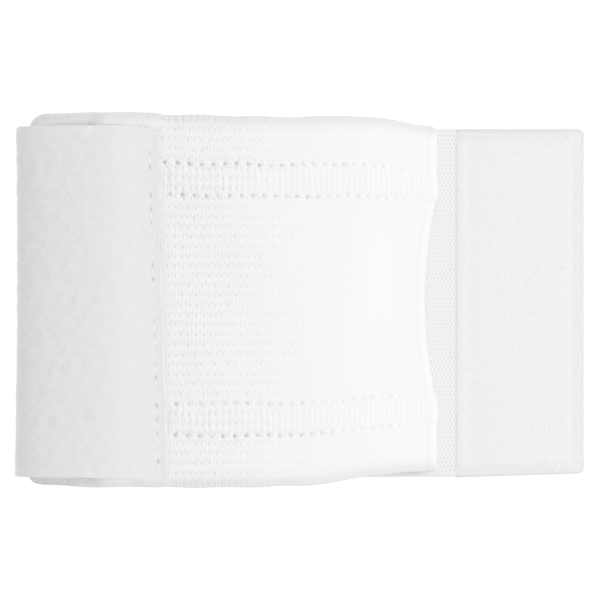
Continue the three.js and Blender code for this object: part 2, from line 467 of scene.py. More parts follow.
def sleeve_half_width(x, side):
    """Half width of the sleeve at x, towards +Y where side is positive, with the table's corners eased."""
    at, *edges = SLEEVE_EDGE.T
    widths = [sum(np.interp(x + r, at, edge) for r in EDGE_EASE) / len(EDGE_EASE) for edge in edges]
    return np.where(side > 0, *widths)


def left_bow(x, share):
    """Inward bow of the left folded edge, deepest a little above its middle."""
    return LEFT_BOW * (1 - (share - LEFT_BOW_SHARE) ** 2) * eased(x, *LEFT_BOW_X)


def on_sleeve(x, y, z, share):
    """Places side-view points of the sleeve, with its folded edges bowed."""
    bow = RIGHT_BOW * np.maximum(0, 1 - (y / RIGHT_BOW_HALF_LENGTH) ** 2)
    return stacked(x + left_bow(x, share) - bow * eased(x, *RIGHT_BOW_X), y, z)


def slipped(x, y):
    """The strap's free end lies a little lower than its root and narrows to its tip."""
    low_side = 0.5 - 0.5 * y / STRAP_HALF
    slip = TAIL_SLIP * (1 - low_side) + low_side * np.interp(x, TAIL_X, TAIL_LOW_SLIP)
    return y + eased(x, *TAIL_FROM_X) * slip


def on_strap(x, y, z, share):
    """Places side-view points of the strap and its panel, whose sewn end on top runs aslant."""
    on_top = eased(x, ROOT_SEAM_X, ROOT_X) * (z > LEFT_Z)
    return stacked(x + left_bow(x, share) - ROOT_SLANT * share * on_top, slipped(x, y) + STRAP_MIDDLE_Y, z)


def wall_rows(outer, rim, inner):
    """Rows round a cloth wall: its outer face, a rounded rim, its inner face and the other rim.

    Gives each row's share of the flat width, lift (1 outer face, -1 inner face) and bulge past the flat.
    """
    turn = np.linspace(math.pi / 2, -math.pi / 2, rim + 1)[1:-1]
    ones = np.ones(len(turn))
    share = np.concatenate([np.linspace(-1, 1, outer + 1), ones, np.linspace(1, -1, inner + 1), -ones])
    lift = np.concatenate([np.ones(outer + 1), np.sin(turn), -np.ones(inner + 1), np.sin(turn[::-1])])
    bulge = np.concatenate([np.zeros(outer + 1), np.cos(turn), np.zeros(inner + 1), -np.cos(turn)])
    return share, lift, bulge


def steps_with_round_ends(length, step, radius, extra=()):
    """Columns of distances along an open wall, close at its rounded ends, and its share of thickness there.

    Extra distances are put among them.
    """
    lead = radius * (1 - np.cos(np.linspace(0, math.pi / 2, END_STEPS)))
    count = max(2, round((length - 2 * radius) / step))
    middle = np.linspace(radius, length - radius, count + 1)[1:-1]
    along = np.sort(np.concatenate([lead, middle, extra, (length - lead)[::-1]]))[:, None]
    depth = np.clip(1 - np.minimum(along, length - along) / radius, 0, 1)
    return along, np.sqrt(1 - depth ** 2)


def ripples(x, y, rng, wavelength, waves=9):
    """Soft seeded unevenness of about -1 to 1."""
    total = np.zeros(np.broadcast(x, y).shape)
    for _ in range(waves):
        angle, phase, stretch = rng.uniform(0, math.pi), rng.uniform(0, 2 * math.pi), rng.uniform(0.75, 1.3)
        k = 2 * math.pi / (wavelength * stretch)
        total += np.cos(k * (x * math.cos(angle) + y * math.sin(angle)) + phase)
    return total / math.sqrt(waves)


def uneven(x, y, rng, wavelength, amount, limits):
    """A soft seeded factor round 1, kept within limits."""
    return np.clip(1 + amount * ripples(x, y, rng, wavelength), *limits)


# Meshes

def new_object(name, mesh, material=None):
    """A mesh put in the scene as a piece, with one material if given."""
    piece = bpy.data.objects.new(name, mesh)
    bpy.context.scene.collection.objects.link(piece)
    if material:
        mesh.materials.clear()
        mesh.materials.append(material)
    return piece


def store(mesh, key, values):
    """Keeps a number or a vector for each point of a mesh."""
    vector = values.ndim == 2 and values.shape[1] == 3
    kept = mesh.attributes.new(key, "FLOAT_VECTOR" if vector else "FLOAT", "POINT")
    kept.data.foreach_set("vector" if vector else "value", values.ravel().astype(np.float32))


def bake_layout(mesh, u, v):
    """The layout that a bake uses, from the two numbers of each face corner."""
    layout = mesh.uv_layers.new(name="OFBake")
    layout.uv.foreach_set("vector", stacked(u, v).ravel().astype(np.float32))


def grid_mesh(name, places, ring, attributes):
    """A closed mesh from a grid of places in mm: along the cloth, then round its wall, shut at open ends."""
    columns, rows, _ = places.shape
    index = np.arange(columns * rows).reshape(columns, rows)
    if not ring:
        partner = np.minimum(np.arange(rows), (rows - RIM_STEPS - np.arange(rows)) % rows)
        index[0] = index[0, partner]
        index[-1] = index[-1, partner]
    spans = np.arange(columns if ring else columns - 1)
    i, j = np.meshgrid(spans, np.arange(rows), indexing="ij")
    next_i, next_j = (i + 1) % columns, (j + 1) % rows
    faces = stacked(index[i, j], index[i, next_j], index[next_i, next_j], index[next_i, j]).reshape(-1, 4)
    used, packed = np.unique(faces, return_inverse=True)
    mesh = bpy.data.meshes.new(name)
    mesh.from_pydata((places.reshape(-1, 3)[used] * MM).tolist(), [], packed.reshape(-1, 4).tolist())
    mesh.polygons.foreach_set("use_smooth", np.ones(len(faces), bool))
    for key, values in attributes.items():
        store(mesh, key, values.reshape(columns * rows, -1)[used])
    bake_layout(mesh, stacked(i, i, i + 1, i + 1) / len(spans), stacked(j, j + 1, j + 1, j) / rows)
    mesh.validate()
    return mesh


def square_per_face(mesh):
    """A bake layout for strands: each face has a small square of its own."""
    count = len(mesh.polygons)
    side = math.ceil(math.sqrt(count))
    first, size = np.empty((2, count), np.int32)
    mesh.polygons.foreach_get("loop_start", first)
    mesh.polygons.foreach_get("loop_total", size)
    face = np.repeat(np.arange(count), size)
    turn = (np.arange(len(face)) - first[face]) * 2 * math.pi / size[face] + math.pi / 4
    reach = 0.55
    u = (face % side + 0.5 + reach * np.cos(turn)) / side
    v = (face // side + 0.5 + reach * np.sin(turn)) / side
    bake_layout(mesh, u, v)


# Materials

MIX_A, MIX_B, MIX_OUT = 6, 7, 2      # sockets of a mix of two colours


def linear(hex_colour):
    """An sRGB hex colour as linear red, green, blue and alpha."""
    parts = [int(hex_colour[k:k + 2], 16) / 255 for k in (1, 3, 5)]
    return (*[p / 12.92 if p <= 0.04045 else ((p + 0.055) / 1.055) ** 2.4 for p in parts], 1.0)


def add(tree, kind, links=None, values=None, **settings):
    """Adds a node with settings, constants and what leads into it: a socket, or a node for its first one."""
    node = tree.nodes.new(kind)
    for name, value in settings.items():
        setattr(node, name, value)
    for socket, value in (values or {}).items():
        node.inputs[socket].default_value = value
    for socket, source in (links or {}).items():
        tree.links.new(getattr(source, "outputs", [source])[0], node.inputs[socket])
    return node


def finish_named(name, values):
    """A new material with a bare shader whose constant inputs are set on it."""
    material = bpy.data.materials.new(name)
    material.use_nodes = True
    tree = material.node_tree
    tree.nodes.clear()
    shader = add(tree, "ShaderNodeBsdfPrincipled", values=values)
    add(tree, "ShaderNodeOutputMaterial", {"Surface": shader.outputs["BSDF"]})
    return material, tree, shader


def yarn_grain(tree, across_mm, along_mm, detail=2.0):
    """Fine streaks of a yarn on the cloth attribute, which holds millimetres along and across the cloth."""
    cloth = add(tree, "ShaderNodeAttribute", attribute_name="cloth")
    scale = (1 / across_mm, 1 / along_mm, 1.0)
    placed = add(tree, "ShaderNodeMapping", {"Vector": cloth.outputs["Vector"]}, {"Scale": scale})
    streaks = {"Scale": 1.0, "Detail": detail}
    return add(tree, "ShaderNodeTexNoise", {"Vector": placed}, streaks).outputs["Fac"]


def marked(tree, colour, marks):
    """A colour with other tones laid over it, each by the share that an attribute holds."""
    for name, tone in marks.items():
        share = add(tree, "ShaderNodeAttribute", attribute_name=name)
        links = {0: share.outputs["Fac"], MIX_A: colour}
        colour = add(tree, "ShaderNodeMix", links, {MIX_B: linear(tone)}, data_type="RGBA").outputs[MIX_OUT]
    return colour


def finished(tree, shader, colour, pattern, roughness, relief=None, invert=False):
    """Leads a colour, a roughness by a pattern, and relief (height, strength, depth in mm) into a shader."""
    tree.links.new(colour, shader.inputs["Base Color"])
    ends = {"To Min": roughness[0], "To Max": roughness[1]}
    rough = add(tree, "ShaderNodeMapRange", {"Value": pattern}, ends)
    tree.links.new(rough.outputs[0], shader.inputs["Roughness"])
    if relief:
        height, strength, depth_mm = relief
        values = {"Strength": strength, "Distance": depth_mm * MM}
        bump = add(tree, "ShaderNodeBump", {"Height": height}, values, invert=invert)
        tree.links.new(bump.outputs[0], shader.inputs["Normal"])


def strand(name, values, tones, patch_mm, detail, roughness):
    """A material for strands, whose tone and roughness change in patches of a size in mm."""
    material, tree, shader = finish_named(name, values)
    place = add(tree, "ShaderNodeTexCoord")
    patches = {"Scale": 1 / (patch_mm * MM), "Detail": detail}
    patch = add(tree, "ShaderNodeTexNoise", {"Vector": place.outputs["Object"]}, patches).outputs["Fac"]
    ends = {MIX_A: linear(tones[0]), MIX_B: linear(tones[1])}
    tone = add(tree, "ShaderNodeMix", {0: patch}, ends, data_type="RGBA").outputs[MIX_OUT]
    finished(tree, shader, tone, patch, roughness)
    return material


def elastic_knit():
    # Elastic rib knit of bright white bulked yarn: matt and finely streaked. Painted shade greys it in its
    # small hollows, along its margins and over its fold, and darkens the needle holes of the sewn rows
    sheen = {"Sheen Weight": 0.15, "Sheen Roughness": 0.5, "IOR": 1.5}
    material, tree, shader = finish_named("elastic knit", sheen)
    grain = yarn_grain(tree, across_mm=0.28, along_mm=1.1)
    tones = {MIX_A: linear("#EAEAEA"), MIX_B: linear("#F2F2F2")}
    yarn = add(tree, "ShaderNodeMix", {0: grain}, tones, data_type="RGBA").outputs[MIX_OUT]
    colour = marked(tree, yarn, {"hollow": "#DDDDDE", "edge_fold_shade": "#D8D8D9", "needle": "#A4A4A6"})
    finished(tree, shader, colour, grain, roughness=(0.95, 0.82), relief=(grain, 0.35, 0.08))
    return material


def elastic_mesh():
    # Warp-knitted elastic mesh: thin bright threads round small open diamonds, whose grey is painted shade.
    # The cell attribute counts the diamonds along and across, and its third number is 1 on the two faces
    sheen = {"Sheen Weight": 0.1, "Sheen Roughness": 0.5, "IOR": 1.5}
    material, tree, shader = finish_named("elastic mesh", sheen)
    cell = add(tree, "ShaderNodeAttribute", attribute_name="cell")
    axes = add(tree, "ShaderNodeSeparateXYZ", {"Vector": cell.outputs["Vector"]}).outputs
    waves = {}
    for socket, axis in enumerate(("X", "Y")):
        angle = add(tree, "ShaderNodeMath", {0: axes[axis]}, {1: 2 * math.pi}, operation="MULTIPLY")
        waves[socket] = add(tree, "ShaderNodeMath", {0: angle}, operation="COSINE")
    both = add(tree, "ShaderNodeMath", waves, operation="MULTIPLY")
    limits = {"From Min": 0.05, "From Max": 0.85}
    opened = add(tree, "ShaderNodeMapRange", {"Value": both}, limits, interpolation_type="SMOOTHSTEP")
    hollow = add(tree, "ShaderNodeMath", {0: opened, 1: axes["Z"]}, operation="MULTIPLY")
    grain = yarn_grain(tree, across_mm=0.2, along_mm=0.6)
    tones = {MIX_A: linear("#ECECEC"), MIX_B: linear("#F1F1F1")}
    yarn = add(tree, "ShaderNodeMix", {0: grain}, tones, data_type="RGBA").outputs[MIX_OUT]
    links = {0: hollow, MIX_A: yarn}
    colour = add(tree, "ShaderNodeMix", links, {MIX_B: linear("#E1E1E2")}, data_type="RGBA").outputs[MIX_OUT]
    finished(tree, shader, colour, grain, roughness=(0.85, 0.7), relief=(grain, 0.3, 0.06))
    return material


def brushed_loop_cloth():
    # Brushed tricot ground under the loops: soft, cloudy, a touch bluish beside the knit, with painted shade
    # in its needle holes and on its cut end
    sheen = {"Sheen Weight": 0.3, "Sheen Roughness": 0.6, "IOR": 1.5}
    material, tree, shader = finish_named("brushed loop cloth", sheen)
    cloud = yarn_grain(tree, across_mm=1.9, along_mm=1.9, detail=3.0)
    fuzz = yarn_grain(tree, across_mm=0.22, along_mm=0.22)
    tones = {MIX_A: linear("#E5E5E7"), MIX_B: linear("#EBEBED")}
    ground = add(tree, "ShaderNodeMix", {0: cloud}, tones, data_type="RGBA").outputs[MIX_OUT]
    colour = marked(tree, ground, {"needle": "#A8A8AB"})
    finished(tree, shader, colour, cloud, roughness=(0.98, 0.86), relief=(fuzz, 0.5, 0.10))
    return material


def woven_hook_tape():
    # Narrow woven nylon tape, heat set: a tight plain weave with a slight gloss, darker along its edges and
    # a little greyer over its margins. Under the hooks it has one even tone, a shade lighter: painted light
    # against the hooks' shadows. The picks are a little coarser than real ones, so that they show
    material, tree, shader = finish_named("woven nylon tape", {"Sheen Weight": 0.05, "IOR": 1.53})
    cloth = add(tree, "ShaderNodeAttribute", attribute_name="cloth")
    pick_mm = 0.55
    weave = add(tree, "ShaderNodeTexBrick", {"Vector": cloth.outputs["Vector"]}, {
        "Color1": linear("#EDEDEF"),
        "Color2": linear("#F2F2F4"),
        "Mortar": linear("#EAEAEC"),
        "Scale": 1 / pick_mm,
        "Mortar Size": 0.09,
        "Mortar Smooth": 1.0,
        "Brick Width": 1.0,
        "Row Height": 0.6,
    }).outputs
    colour = marked(tree, weave["Color"], {"rooted": "#EFEFF1", "darker_margins": "#DDDDDF"})
    relief = (weave["Fac"], 0.28, 0.08)
    finished(tree, shader, colour, weave["Fac"], roughness=(0.55, 0.75), relief=relief, invert=True)
    return material


def loop_pile_yarn():
    # Fine nylon loops raised from the ground: white, soft, hazy at the edges
    sheen = {"Sheen Weight": 0.3, "Sheen Roughness": 0.6, "IOR": 1.53}
    tones = ("#F2F2F4", "#F8F8FA")
    return strand("loop pile yarn", sheen, tones, patch_mm=1.6, detail=2.0, roughness=(0.9, 0.75))


def hook_monofilament():
    # Drawn nylon monofilament, heat set as hooks: milky, smooth, with a small gleam on each bend
    gloss = {"IOR": 1.53}
    tones = ("#F3F3F4", "#F8F8F9")
    return strand("nylon monofilament", gloss, tones, patch_mm=3.0, detail=1.0, roughness=(0.5, 0.38))


def sewing_thread():
    # Spun polyester sewing thread: bright white, faintly twisted, matt
    sheen = {"Sheen Weight": 0.1, "IOR": 1.5}
    tones = ("#EBEBEC", "#F9F9F9")
    return strand("polyester sewing thread", sheen, tones, patch_mm=0.35, detail=1.0, roughness=(0.8, 0.62))


KNIT = elastic_knit()
MESH = elastic_mesh()
LOOP_CLOTH = brushed_loop_cloth()
LOOP_YARN = loop_pile_yarn()
TAPE = woven_hook_tape()
HOOK_NYLON = hook_monofilament()
THREAD = sewing_thread()


# Geometry node trees

def new_tree(name, inputs):
    """A geometry node tree with named inputs of given kinds, and the sockets that these come in by."""
    tree = bpy.data.node_groups.new(name, "GeometryNodeTree")
    tree.interface.new_socket("Geometry", in_out="INPUT", socket_type="NodeSocketGeometry")
    for label, kind in {**inputs, "Size Seed": "Int", "Material": "Material"}.items():
        tree.interface.new_socket(label, in_out="INPUT", socket_type="NodeSocket" + kind)
    tree.interface.new_socket("Geometry", in_out="OUTPUT", socket_type="NodeSocketGeometry")
    return tree, add(tree, "NodeGroupInput").outputs


def swing(tree, given, name):
    """A random angle for each instance, at most a named input to either side."""
    back = add(tree, "ShaderNodeMath", {0: given[name]}, {1: -1.0}, operation="MULTIPLY")
    links = {2: back, 3: given[name], "Seed": given[name + " Seed"]}
    return add(tree, "FunctionNodeRandomValue", links).outputs[1]


def turned(tree, rotation, angle, axis):
    """A rotation turned further about an axis of its own."""
    turn = add(tree, "FunctionNodeAxisAngleToRotation", {"Angle": angle}, {"Axis": axis})
    links = {"Rotation": rotation, "Rotate By": turn}
    return add(tree, "FunctionNodeRotateRotation", links, rotation_space="LOCAL")


def tube(tree, curve, radius, sides):
    """A closed tube round a curve."""
    round_it = add(tree, "GeometryNodeCurvePrimitiveCircle", {"Radius": radius}, {"Resolution": sides})
    links = {"Curve": curve, "Profile Curve": round_it}
    return add(tree, "GeometryNodeCurveToMesh", links, {"Fill Caps": True})


def planted(tree, given, points, instance, rotation, sizes, share=None):
    """Ends a tree: an instance of random size on each point, all realized and given the material."""
    ends = {2: sizes[0], 3: sizes[1]}
    size = add(tree, "FunctionNodeRandomValue", {"Seed": given["Size Seed"]}, ends).outputs[1]
    if share:
        size = add(tree, "ShaderNodeMath", {0: size, 1: share}, operation="MULTIPLY")
    links = {"Points": points, "Instance": instance, "Rotation": rotation, "Scale": size}
    placed = add(tree, "GeometryNodeInstanceOnPoints", links)
    real = add(tree, "GeometryNodeRealizeInstances", {"Geometry": placed})
    smooth = add(tree, "GeometryNodeSetShadeSmooth", {0: real})
    dressed = add(tree, "GeometryNodeSetMaterial", {"Geometry": smooth, "Material": given["Material"]})
    add(tree, "NodeGroupOutput", {"Geometry": dressed})
    return tree


def stitch_tree():
    """A thread bow at each point of the rows that come in, along the row, its back to the up attribute."""
    tree, given = new_tree("stitch row", {
        "Stitch Length": "Float", "Thread Radius": "Float", "Arch": "Float", "Sink": "Float",
        "Sway": "Float", "Sway Seed": "Int",
    })
    rows = add(tree, "GeometryNodeMeshToCurve", {"Mesh": given["Geometry"]})
    low = add(tree, "ShaderNodeMath", {0: given["Sink"]}, {1: -1.0}, operation="MULTIPLY")
    length = {0: given["Stitch Length"]}
    ends = {}
    for end, way in (("Start", -1.0), ("End", 1.0)):
        for key, share, level in ((end, 0.5, low), (end + " Handle", 0.275, given["Arch"])):
            reach = add(tree, "ShaderNodeMath", length, {1: way * share}, operation="MULTIPLY")
            ends[key] = add(tree, "ShaderNodeCombineXYZ", {"X": reach, "Z": level})
    bow = add(tree, "GeometryNodeCurvePrimitiveBezierSegment", ends, {"Resolution": 8})
    thread = tube(tree, bow, given["Thread Radius"], sides=7)
    along = add(tree, "GeometryNodeInputTangent")
    up = add(tree, "GeometryNodeInputNamedAttribute", values={"Name": "up"}, data_type="FLOAT_VECTOR")
    ahead = add(tree, "FunctionNodeAlignRotationToVector", {"Vector": along}, axis="X")
    links = {"Rotation": ahead, "Vector": up}
    upright = add(tree, "FunctionNodeAlignRotationToVector", links, axis="Z", pivot_axis="X")
    swayed = turned(tree, upright, swing(tree, given, "Sway"), (0, 0, 1))
    return planted(tree, given, rows, thread, swayed, sizes=(0.88, 1.12))


def pile_tree():
    """Small loops on the face that comes in, leaning every way, as high as the nap attribute says."""
    tree, given = new_tree("loop pile", {
        "Density": "Float", "Loop Radius": "Float", "Yarn Radius": "Float", "Lean": "Float",
        "Seed": "Int", "Spin Seed": "Int", "Lean Seed": "Int",
    })
    links = {"Mesh": given["Geometry"], "Density": given["Density"], "Seed": given["Seed"]}
    roots = add(tree, "GeometryNodeDistributePointsOnFaces", links)
    half_turn = {"Resolution": 5, "Start Angle": 0.0, "Sweep Angle": math.pi}
    arc = add(tree, "GeometryNodeCurveArc", {"Radius": given["Loop Radius"]}, half_turn)
    upright = add(tree, "GeometryNodeTransform", {"Geometry": arc}, {"Rotation": (math.pi / 2, 0, 0)})
    loop = tube(tree, upright, given["Yarn Radius"], sides=3)
    full_turn = {2: 0.0, 3: 2 * math.pi}
    spin = add(tree, "FunctionNodeRandomValue", {"Seed": given["Spin Seed"]}, full_turn).outputs[1]
    spun = turned(tree, roots.outputs["Rotation"], spin, (0, 0, 1))
    leaned = turned(tree, spun, swing(tree, given, "Lean"), (1, 0, 0))
    nap = add(tree, "GeometryNodeInputNamedAttribute", values={"Name": "nap"})
    return planted(tree, given, roots, loop, leaned, sizes=(0.7, 1.2), share=nap)


def hook_tree():
    """The hook that comes in, repeated over a field of columns, each column facing against the next."""
    tree, given = new_tree("hook field", {
        "Columns": "Int", "Rows": "Int", "Width": "Float", "Length": "Float", "Middle": "Vector",
        "Sway": "Float", "Sway Seed": "Int",
    })
    names = {"Size X": "Width", "Size Y": "Length", "Vertices X": "Columns", "Vertices Y": "Rows"}
    field = add(tree, "GeometryNodeMeshGrid", {socket: given[name] for socket, name in names.items()})
    placed = add(tree, "GeometryNodeTransform", {"Geometry": field, "Translation": given["Middle"]})
    count = add(tree, "GeometryNodeInputIndex")
    column = add(tree, "ShaderNodeMath", {0: count, 1: given["Rows"]}, operation="DIVIDE")
    whole = add(tree, "ShaderNodeMath", {0: column}, operation="FLOOR")
    odd = add(tree, "ShaderNodeMath", {0: whole}, {1: 2.0}, operation="MODULO")
    facing = add(tree, "ShaderNodeMath", {0: odd}, {1: math.pi, 2: math.pi / 2}, operation="MULTIPLY_ADD")
    angle = add(tree, "ShaderNodeMath", {0: facing, 1: swing(tree, given, "Sway")}, operation="ADD")
    turn = add(tree, "FunctionNodeAxisAngleToRotation", {"Angle": angle}, {"Axis": (0, 0, 1)})
    return planted(tree, given, placed, given["Geometry"], turn, sizes=(0.36, 0.58))


def grown(name, mesh, tree, inputs):
    """A plain mesh piece made by a tree from a starting mesh. Inputs are set by socket identifier."""
    piece = new_object(name, mesh)
    modifier = piece.modifiers.new("grow", "NODES")
    modifier.node_group = tree
    for item in tree.interface.items_tree:
        if item.item_type == "SOCKET" and item.in_out == "INPUT" and item.name in inputs:
            modifier[item.identifier] = inputs[item.name]
    result = piece.evaluated_get(bpy.context.evaluated_depsgraph_get())
    plain = bpy.data.meshes.new_from_object(result)
    plain.name = name
    piece.modifiers.clear()
    piece.data = plain
    square_per_face(plain)
    return piece


STITCHES = stitch_tree()
PILE = pile_tree()
HOOKS = hook_tree()


def row_mesh(name, rows):
    """Rows of stitch places joined by edges, with the way up at each: a list of (places in mm, ups)."""
    mesh = bpy.data.meshes.new(name)
    edges = []
    first = 0
    for places, _ in rows:
        edges += [(k, k + 1) for k in range(first, first + len(places) - 1)]
        first += len(places)
    mesh.from_pydata((np.vstack([places for places, _ in rows]) * MM).tolist(), edges, [])
    store(mesh, "up", np.vstack([ups for _, ups in rows]))
    return mesh


def sew(name, rows, length, radius, arch, sink, sway=0.12):
    """Sewn rows as one thread piece, with sizes in mm."""
    return grown(name, row_mesh(name, rows), STITCHES, {
        "Stitch Length": length * MM,
        "Thread Radius": radius * MM,
        "Arch": arch * MM,
        "Sink": sink * MM,
        "Sway": sway,
        "Sway Seed": SEED,
        "Size Seed": SEED + 1,
        "Material": THREAD,
    })


# Knit sleeve

def top_along(wales):
    """Distances along the ring at wales counted over the top, from the right fold to the root."""
    share = wales / TOP_WALES
    wider = FOLD_WALE + (ROOT_WALE - FOLD_WALE) * share / 2
    return FOLD_ALONG + TOP_LENGTH * share * wider * 2 / (FOLD_WALE + ROOT_WALE)


def needle_stops(first):
    """Distances along the ring of the needle holes in one sewn row, from the root to the right fold."""
    return top_along(np.arange(TOP_WALES - first, 0, -SEWN_WALES))


def sleeve_columns():
    """Distances along the ring and the wales counted there, coarse under the strap and fine on top."""
    covered = round(FOLD_ALONG / ROOT_WALE)
    hidden = np.arange(covered * HIDDEN_WALE_STEPS) / HIDDEN_WALE_STEPS
    shown = np.arange(TOP_WALES * SHOWN_WALE_STEPS) / SHOWN_WALE_STEPS
    along = np.concatenate([hidden * FOLD_ALONG / covered, top_along(shown)])
    return along[:, None], np.concatenate([hidden, covered + shown])[:, None]


def near_edge(share, width):
    """Share from 0 to 1 of nearness to the sleeve's open edges."""
    return np.clip(1 - (1 - np.abs(share)) * width / EDGE_DROOP_WIDTH, 0, 1) ** 2


def leg_share(wale):
    """Share of a stitch's legs at wales, which have two legs each."""
    return 0.5 - 0.5 * np.cos(4 * math.pi * wale)


def knit_stitches(face, rng):
    """Height of the knit's legs, and its hollows from 0 up."""
    wandered = face.wale + WALE_WANDER * ripples(face.x, face.y, rng, wavelength=7)
    across = np.cos(2 * math.pi * wandered)
    step = np.round(face.row - PIT_ROW) % COURSE_STEPS
    pits = np.maximum(0, across) ** 2 * (step == 0) + SIDE_PIT * np.maximum(0, -across) ** 2 * (step == 1)
    # The hollows also carry painted shade: the knit's colour greys in them
    hollow = pits * face.taut * uneven(face.x, face.y, rng, wavelength=2.6, amount=0.4, limits=(0.25, 1.8))
    hollow *= 1 - gauss(face.past_root, ROOT_PRESS_HALF) * face.on_top
    plump = uneven(face.x, face.y, rng, wavelength=5, amount=0.6, limits=(0, 2))
    return LEG_HEIGHT * leg_share(wandered) * face.taut * plump, hollow


def ribbed_bands(face, rng):
    """Height of the two plump bands with their ribs."""
    wandered = face.wale + RIB_WANDER * ripples(face.x, face.y, rng, wavelength=5)
    ribs = RIB_HEIGHT * (0.5 - 0.5 * np.cos(2 * math.pi * wandered))
    ribs *= uneven(face.x, face.y, rng, wavelength=4, amount=0.5, limits=(0.35, 2))
    ribs *= SLACK_RIB + (1 - SLACK_RIB) * face.taut
    height = 0
    for outer, inner in SEWN_BANDS:
        share = (face.row - inner) / (outer - inner)
        inside = np.clip(4 * share * (1 - share), 0, 1)
        height = height + BAND_PUFF * inside * face.over_top + ribs * np.sqrt(inside)
    return height


def sewn_rows(face, rng):
    """Depth of the grooves along the sewn rows, and their needle holes from 0 to 1."""
    groove = 0
    needle = np.zeros_like(face.y)
    for sewn, first, pierced, half_length in SEWN_ROWS:
        side = (face.row - sewn) * ROW_STEP
        groove = groove + SEWN_GROOVE * gauss(side, SEWN_GROOVE_HALF)
        for stop in needle_stops(first):
            past = face.along - stop
            depth = pierced * rng.uniform(*NEEDLE_SPREAD)
            hole = gauss(past, half_length) * gauss(side, NEEDLE_HALF)
            pull_side = gauss(side - rng.uniform(-PULL_REACH[1], PULL_REACH[1]), PULL_HALF[1])
            pull = gauss(past - rng.uniform(-PULL_REACH[0], PULL_REACH[0]), PULL_HALF[0]) * pull_side
            # The needle share also carries painted shade: the knit darkens in each hole and in the dent
            # beside it
            needle = np.maximum(needle, depth * np.maximum(hole, rng.uniform(0, PULL_SHARE) * pull))
    groove = groove * face.over_top * fading(face.x, *GROOVE_FADE)
    return groove, needle * fading(face.x, *NEEDLE_FADE) * fading(face.x, *FOLD_NEEDLE_FADE)


def open_margins(face):
    """Height of the sleeve's margins: they droop, gape beside the loose strap, puff beside the sewn one."""
    from_middle = np.abs(face.row)
    droop = EDGE_DROOP + np.where(face.row < 0, *LOOSE_DROOP) * eased(face.x, *LOOSE_X)
    droop = droop * np.maximum(face.up, 0) * near_edge(2 * face.row / OUTER_STEPS, FLAT_HALF)
    slit = LOOSE_SLIT * gauss(from_middle - PAD_EDGE_ROWS[0], SLIT_HALF_ROWS) * between(face.x, *SLIT_X)
    pad_edge = np.where(face.row < 0, *PAD_EDGE_ROWS)
    puff = MARGIN_PUFF * eased(from_middle, pad_edge - 1, pad_edge) * between(face.x, *MARGIN_PUFF_X)
    return (puff - slit) * face.on_top - droop


def sleeve_relief(face):
    """Height of the knit over its plain wall, and its needle holes and hollows from 0 to 1."""
    rng = np.random.default_rng(SEED)
    face.on_top = face.up > 0
    face.over_top = eased(face.along - FOLD_ALONG, *TOP_FROM_FOLD)
    face.over_top = face.over_top * eased(RING.length - face.along, *TOP_TO_ROOT)
    face.past_root = face.x - ROOT_X - PANEL_OVERHANG + ROOT_SLANT * (face.y - STRAP_MIDDLE_Y) / STRAP_HALF
    face.taut = fading(face.x, *KNIT_FADE)
    height, hollow = knit_stitches(face, rng)
    height += ribbed_bands(face, rng) - PIT_DEPTH * hollow
    height += ROOT_PUFF * between(face.past_root, *ROOT_PUFF_REACH) * face.on_top
    groove, needle = sewn_rows(face, rng)
    height += open_margins(face) - groove - NEEDLE_DEPTH * needle
    slack = SLACK_HEIGHT * between(face.x, *SLACK_X) * face.over_top
    height += slack * ripples(face.x, face.y, rng, wavelength=26)
    return height, needle, np.clip(hollow, 0, 1)


def knit_sleeve():
    """The sleeve's wall with the knit on its outer face and a little way round its open rims."""
    share, lift, bulge = wall_rows(OUTER_STEPS, RIM_STEPS, INNER_STEPS)
    along, wale = sleeve_columns()
    (mid_x, mid_z), (out_x, out_z) = RING.at(along)
    half = SLEEVE_WALL / 2
    plain_x = mid_x + out_x * half * lift
    width = sleeve_half_width(plain_x, share)
    y = share * (width - half) + bulge * half
    y = y + EDGE_WAVE * ripples(along, y, np.random.default_rng(SEED), wavelength=10)
    outer = slice(0, OUTER_STEPS + 1)
    row = (share * OUTER_STEPS / 2)[None, outer]
    face = SimpleNamespace(along=along, wale=wale, row=row, x=plain_x[:, outer], y=y[:, outer], up=out_z)
    height, needle, hollow = np.zeros((3, *y.shape))
    height[:, outer], needle[:, outer], hollow[:, outer] = sleeve_relief(face)
    rim = np.abs(bulge) > 0
    rim_legs = LEG_HEIGHT * leg_share(wale)
    edge_height = np.where(share[rim] > 0, height[:, OUTER_STEPS:OUTER_STEPS + 1], height[:, :1])
    height[:, rim] = (rim_legs + edge_height) * np.maximum(lift[rim], 0)
    y += bulge * rim_legs
    height += half * lift
    # Painted shade that greys the knit along its open margins, less so beside the strap, and over its right
    # fold
    edge_fold_shade = near_edge(share, width - half) * (lift > -1)
    edge_fold_shade = EDGE_GREY * fading(plain_x, *COVERED_GREY_FADE) * edge_fold_shade
    past_fold = along - FOLD_ALONG
    edge_fold_shade += FOLD_GREY * eased(past_fold, *FOLD_GREY_REACH) * (past_fold > -FOLD_GREY_BACK)
    places = on_sleeve(mid_x + out_x * height, y, mid_z + out_z * height, share)
    attributes = {"cloth": stacked(along, y, 0), "hollow": hollow, "needle": needle, "edge_fold_shade": edge_fold_shade}
    return new_object("sleeve_knit", grid_mesh("sleeve_knit", places, True, attributes), KNIT)


def sleeve_rows():
    """Places and ways up of the stitches in the four sewn rows."""
    rows = []
    for sewn, first, _, _ in SEWN_ROWS:
        holes = needle_stops(first)
        (x, z), (out_x, out_z) = RING.at((holes[1:] + holes[:-1]) / 2)
        lift = SLEEVE_WALL / 2 - SLEEVE_THREAD_SEAT - FOLD_SINK * eased(x, *FOLD_SINK_X)
        share = sewn / (OUTER_STEPS / 2)
        x, z = x + out_x * lift, z + out_z * lift
        y = share * (sleeve_half_width(x, share) - SLEEVE_WALL / 2)
        rows.append((on_sleeve(x, y, z, share), stacked(out_x, 0, out_z)))
    return rows


# Mesh strap

